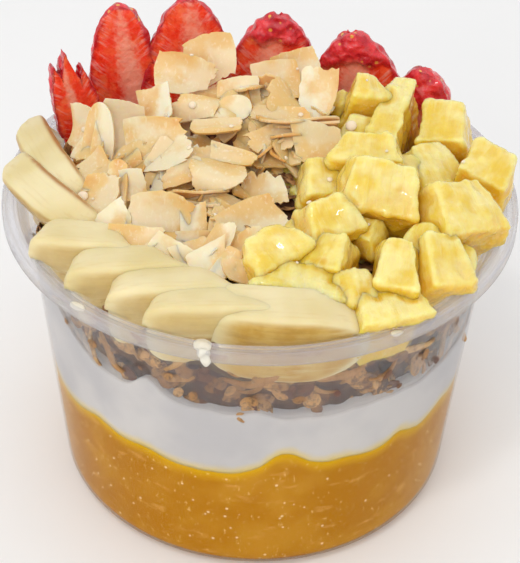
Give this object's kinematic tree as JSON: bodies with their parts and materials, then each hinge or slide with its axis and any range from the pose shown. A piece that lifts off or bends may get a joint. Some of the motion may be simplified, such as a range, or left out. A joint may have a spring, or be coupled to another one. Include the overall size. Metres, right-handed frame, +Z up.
{
  "type": "acai bowl",
  "caption": "Fruit bowl in a clear round plastic cup: orange fruit puree, yogurt and granola in layers, topped with banana slices, strawberries, pineapple chunks and toasted coconut chips.",
  "frame": {"origin": "middle of the cup's flat base, on the surface it stands on", "axes": "+Z up along the cup's axis; -Y is the front, where the banana slices lean on the rim; +X is to the right, where the pineapple is"},
  "size_m": [0.1178, 0.117, 0.1002],
  "materials": {
    "clear_plastic": "thin clear polypropylene, slightly milky at the rim, glossy",
    "fruit_puree": "thick blended orange fruit with pale flecks and small air bubbles",
    "yogurt": "smooth white yogurt, soft sheen",
    "granola": "rolled oats in brown clusters, matt",
    "toasted_coconut": "cream coconut chips with toasted golden edges, dry and matt",
    "banana_flesh": "moist cream flesh, faint fibres, small brown seeds",
    "pineapple_flesh": "wet yellow flesh with long fibres",
    "strawberry_flesh": "glossy red skin with pale seeds; cut faces salmon to orange red with a pale core"
  },
  "bodies": {
    "root": {"cup": "clear_plastic", "puree": "fruit_puree", "yogurt": "yogurt", "granola": "granola", "coconut": "toasted_coconut", "banana_1": "banana_flesh", "banana_2": "banana_flesh", "banana_3": "banana_flesh", "banana_4": "banana_flesh", "banana_5": "banana_flesh", "banana_6": "banana_flesh", "banana_7": "banana_flesh", "pineapple_1": "pineapple_flesh", "pineapple_2": "pineapple_flesh", "pineapple_3": "pineapple_flesh", "pineapple_4": "pineapple_flesh", "pineapple_5": "pineapple_flesh", "pineapple_6": "pineapple_flesh", "pineapple_7": "pineapple_flesh", "pineapple_8": "pineapple_flesh", "pineapple_9": "pineapple_flesh", "pineapple_10": "pineapple_flesh", "pineapple_11": "pineapple_flesh", "pineapple_12": "pineapple_flesh", "pineapple_13": "pineapple_flesh", "pineapple_14": "pineapple_flesh", "pineapple_15": "pineapple_flesh", "pineapple_16": "pineapple_flesh", "pineapple_17": "pineapple_flesh", "pineapple_18": "pineapple_flesh", "pineapple_19": "pineapple_flesh", "pineapple_20": "pineapple_flesh", "pineapple_21": "pineapple_flesh", "pineapple_22": "pineapple_flesh", "strawberry_1": "strawberry_flesh", "strawberry_2": "strawberry_flesh", "strawberry_3": "strawberry_flesh", "strawberry_4": "strawberry_flesh", "strawberry_5": "strawberry_flesh", "strawberry_6": "strawberry_flesh"}
  },
  "joints": []
}
